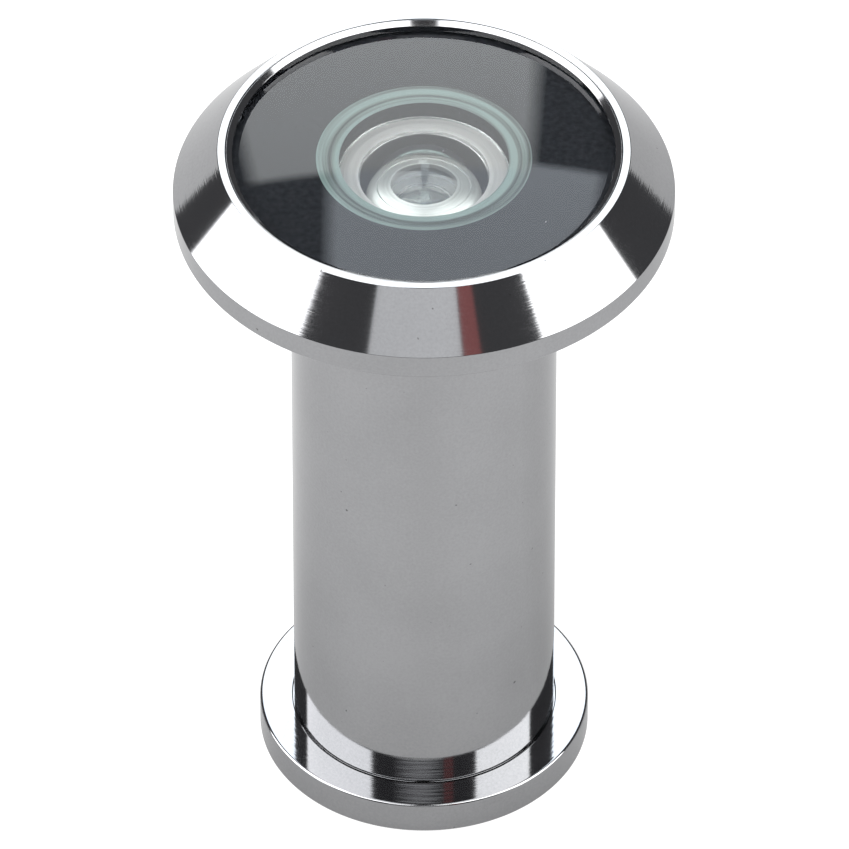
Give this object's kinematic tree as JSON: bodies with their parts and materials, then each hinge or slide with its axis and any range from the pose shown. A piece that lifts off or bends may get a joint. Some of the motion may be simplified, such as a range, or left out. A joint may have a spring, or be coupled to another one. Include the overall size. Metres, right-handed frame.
{
  "type": "door viewer",
  "caption": "Wide-angle door viewer in two threaded halves: conical head with a wide glass, plain barrel and a slim round rear flange.",
  "frame": {"origin": "centre of the rear flange's outer face, on the viewer's axis", "axes": "+Z along the light path, from the eyepiece towards the outside lens"},
  "size_m": [0.0262, 0.0262, 0.041],
  "materials": {
    "chrome": "bright polished plating",
    "front_glass": "polished, faint green cast",
    "clear_glass": "polished",
    "black_plastic": "matte black",
    "bare_aluminium": "fine turned",
    "spring_steel": "plain spring wire"
  },
  "bodies": {
    "rear_half": {"rear_sleeve": "chrome", "eyepiece_lens": "clear_glass", "eyepiece_clip": "spring_steel"},
    "lens_stack": {"front_lens": "front_glass", "lens_seat_ring": "black_plastic", "lens_cell": "bare_aluminium", "cell_retaining_ring": "bare_aluminium", "second_lens": "clear_glass", "lens_spacer": "bare_aluminium", "third_lens": "clear_glass", "aperture_stop": "black_plastic"},
    "front_shell": {"bezel": "chrome", "barrel": "chrome", "lens_retaining_ring": "chrome"}
  },
  "joints": [
    {"name": "screw_travel", "type": "slide", "parent": "rear_half", "child": "lens_stack", "axis": [0, 0, 1], "range_m": [0, 0.02]},
    {"name": "screw_turn", "type": "hinge", "parent": "lens_stack", "child": "front_shell", "pos_m": [0, 0, 0.02], "axis": [0, 0, 1], "range_deg": [0, 7200]}
  ],
  "couplings": [
    {"joint": "screw_travel", "follows": "screw_turn", "m_per_rad": 0.00015915}
  ]
}
